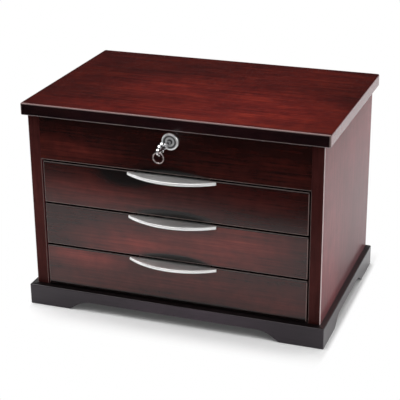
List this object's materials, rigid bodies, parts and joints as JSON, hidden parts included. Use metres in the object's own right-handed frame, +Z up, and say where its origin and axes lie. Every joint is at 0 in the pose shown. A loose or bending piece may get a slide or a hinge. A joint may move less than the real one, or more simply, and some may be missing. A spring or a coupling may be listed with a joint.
{
  "type": "musical jewellery box",
  "caption": "Table-top jewellery box in dark lacquered wood with sliding drawers, a hinged locking lid over a lined tray with mirror, and a wind-up music movement.",
  "frame": {"origin": "on the table, below the middle of the whole object with its key and winding key", "axes": "+X to the right, +Y to the back, +Z up; the drawers open towards -Y"},
  "size_m": [0.33, 0.262, 0.2285],
  "materials": {
    "mahogany": "high-gloss dark mahogany lacquer",
    "black_lacquer": "satin black lacquer",
    "inner_wood": "dark stained wood",
    "velvet": "short black velvet pile",
    "felt": "pressed felt",
    "satin_nickel": "satin nickel plate",
    "chrome": "bright chrome plate",
    "steel": "zinc-plated steel",
    "brass": "polished brass",
    "mirror": "silvered mirror glass"
  },
  "bodies": {
    "case": {"plinth_front_apron": "black_lacquer", "plinth_back_apron": "black_lacquer", "plinth_side_aprons": "black_lacquer", "bottom_board": "inner_wood", "corner_blocks": "inner_wood", "foot_pads": "felt", "left_side_panel": "mahogany", "right_side_panel": "mahogany", "back_panel": "mahogany", "lock_rail": "mahogany", "tray_floor": "inner_wood", "drawer_runners": "inner_wood", "tray_lining": "velvet", "tray_dividers": "velvet", "ring_rolls": "velvet", "movement_cover": "velvet", "movement_bedplate": "brass", "tuned_comb": "steel", "movement_screws": "steel", "hinge_case_leaves": "brass", "hinge_case_screws": "steel", "hinge_pins": "steel", "lock_housing": "chrome", "lock_nut": "chrome"},
    "lid": {"lid_panel": "mahogany", "hinge_lid_leaves": "brass", "lid_screws": "steel", "strike_plate": "steel", "mirror_frame": "mahogany", "mirror_glass": "mirror"},
    "drawer_1": {"drawer_1_front": "mahogany", "drawer_1_box": "inner_wood", "drawer_1_bottom": "inner_wood", "drawer_1_lining": "velvet", "drawer_1_pull": "satin_nickel", "drawer_1_pull_screws": "steel"},
    "drawer_2": {"drawer_2_front": "mahogany", "drawer_2_box": "inner_wood", "drawer_2_bottom": "inner_wood", "drawer_2_lining": "velvet", "drawer_2_pull": "satin_nickel", "drawer_2_pull_screws": "steel"},
    "drawer_3": {"drawer_3_front": "mahogany", "drawer_3_box": "inner_wood", "drawer_3_bottom": "inner_wood", "drawer_3_lining": "velvet", "drawer_3_pull": "satin_nickel", "drawer_3_pull_screws": "steel"},
    "lock": {"lock_plug": "chrome", "lock_cam": "steel", "cam_screw": "steel"},
    "key": {"key": "chrome"},
    "key_ring": {"key_ring": "chrome"},
    "winding": {"winding_arbor": "steel", "winding_key": "brass"},
    "spring_housing": {"spring_housing": "brass"},
    "cylinder": {"pinned_cylinder": "brass"},
    "governor": {"governor_fan": "brass"},
    "plunger": {"stop_plunger": "steel"}
  },
  "joints": [
    {"name": "lid_hinge", "type": "hinge", "parent": "case", "child": "lid", "pos_m": [0, 0.11575, 0.21535], "axis": [-1, 0, 0], "range_deg": [0, 96]},
    {"name": "drawer_1_slide", "type": "slide", "parent": "case", "child": "drawer_1", "axis": [0, -1, 0], "range_m": [0, 0.145]},
    {"name": "drawer_2_slide", "type": "slide", "parent": "case", "child": "drawer_2", "axis": [0, -1, 0], "range_m": [0, 0.145]},
    {"name": "drawer_3_slide", "type": "slide", "parent": "case", "child": "drawer_3", "axis": [0, -1, 0], "range_m": [0, 0.145]},
    {"name": "lock_turn", "type": "hinge", "parent": "case", "child": "lock", "pos_m": [0, -0.094, 0.2034], "axis": [0, -1, 0], "range_deg": [0, 90]},
    {"name": "key_pull", "type": "slide", "parent": "lock", "child": "key", "axis": [0, -1, 0], "range_m": [0, 0.018]},
    {"name": "key_ring_swing", "type": "hinge", "parent": "key", "child": "key_ring", "pos_m": [0, -0.1283, 0.20285], "axis": [1, 0, 0], "range_deg": [-50, 50]},
    {"name": "winding_turn", "type": "hinge", "parent": "case", "child": "winding", "pos_m": [0.1265, 0.115, 0.185], "axis": [0, 1, 0], "continuous": true},
    {"name": "spring_housing_turn", "type": "hinge", "parent": "case", "child": "spring_housing", "pos_m": [0.1265, 0.1025, 0.185], "axis": [0, 1, 0], "continuous": true},
    {"name": "cylinder_turn", "type": "hinge", "parent": "case", "child": "cylinder", "pos_m": [0.088, 0.0945, 0.2005], "axis": [1, 0, 0], "continuous": true},
    {"name": "governor_turn", "type": "hinge", "parent": "case", "child": "governor", "pos_m": [0.13, 0.0945, 0.2005], "axis": [0, 0, 1], "continuous": true},
    {"name": "stop_plunger_rise", "type": "slide", "parent": "case", "child": "plunger", "axis": [0, 0, 1], "range_m": [0, 0.003]}
  ],
  "couplings": [
    {"joint": "cylinder_turn", "follows": "spring_housing_turn", "ratio": 1.5},
    {"joint": "governor_turn", "follows": "spring_housing_turn", "ratio": 16},
    {"joint": "stop_plunger_rise", "follows": "lid_hinge", "m_per_rad": 0.00179}
  ]
}
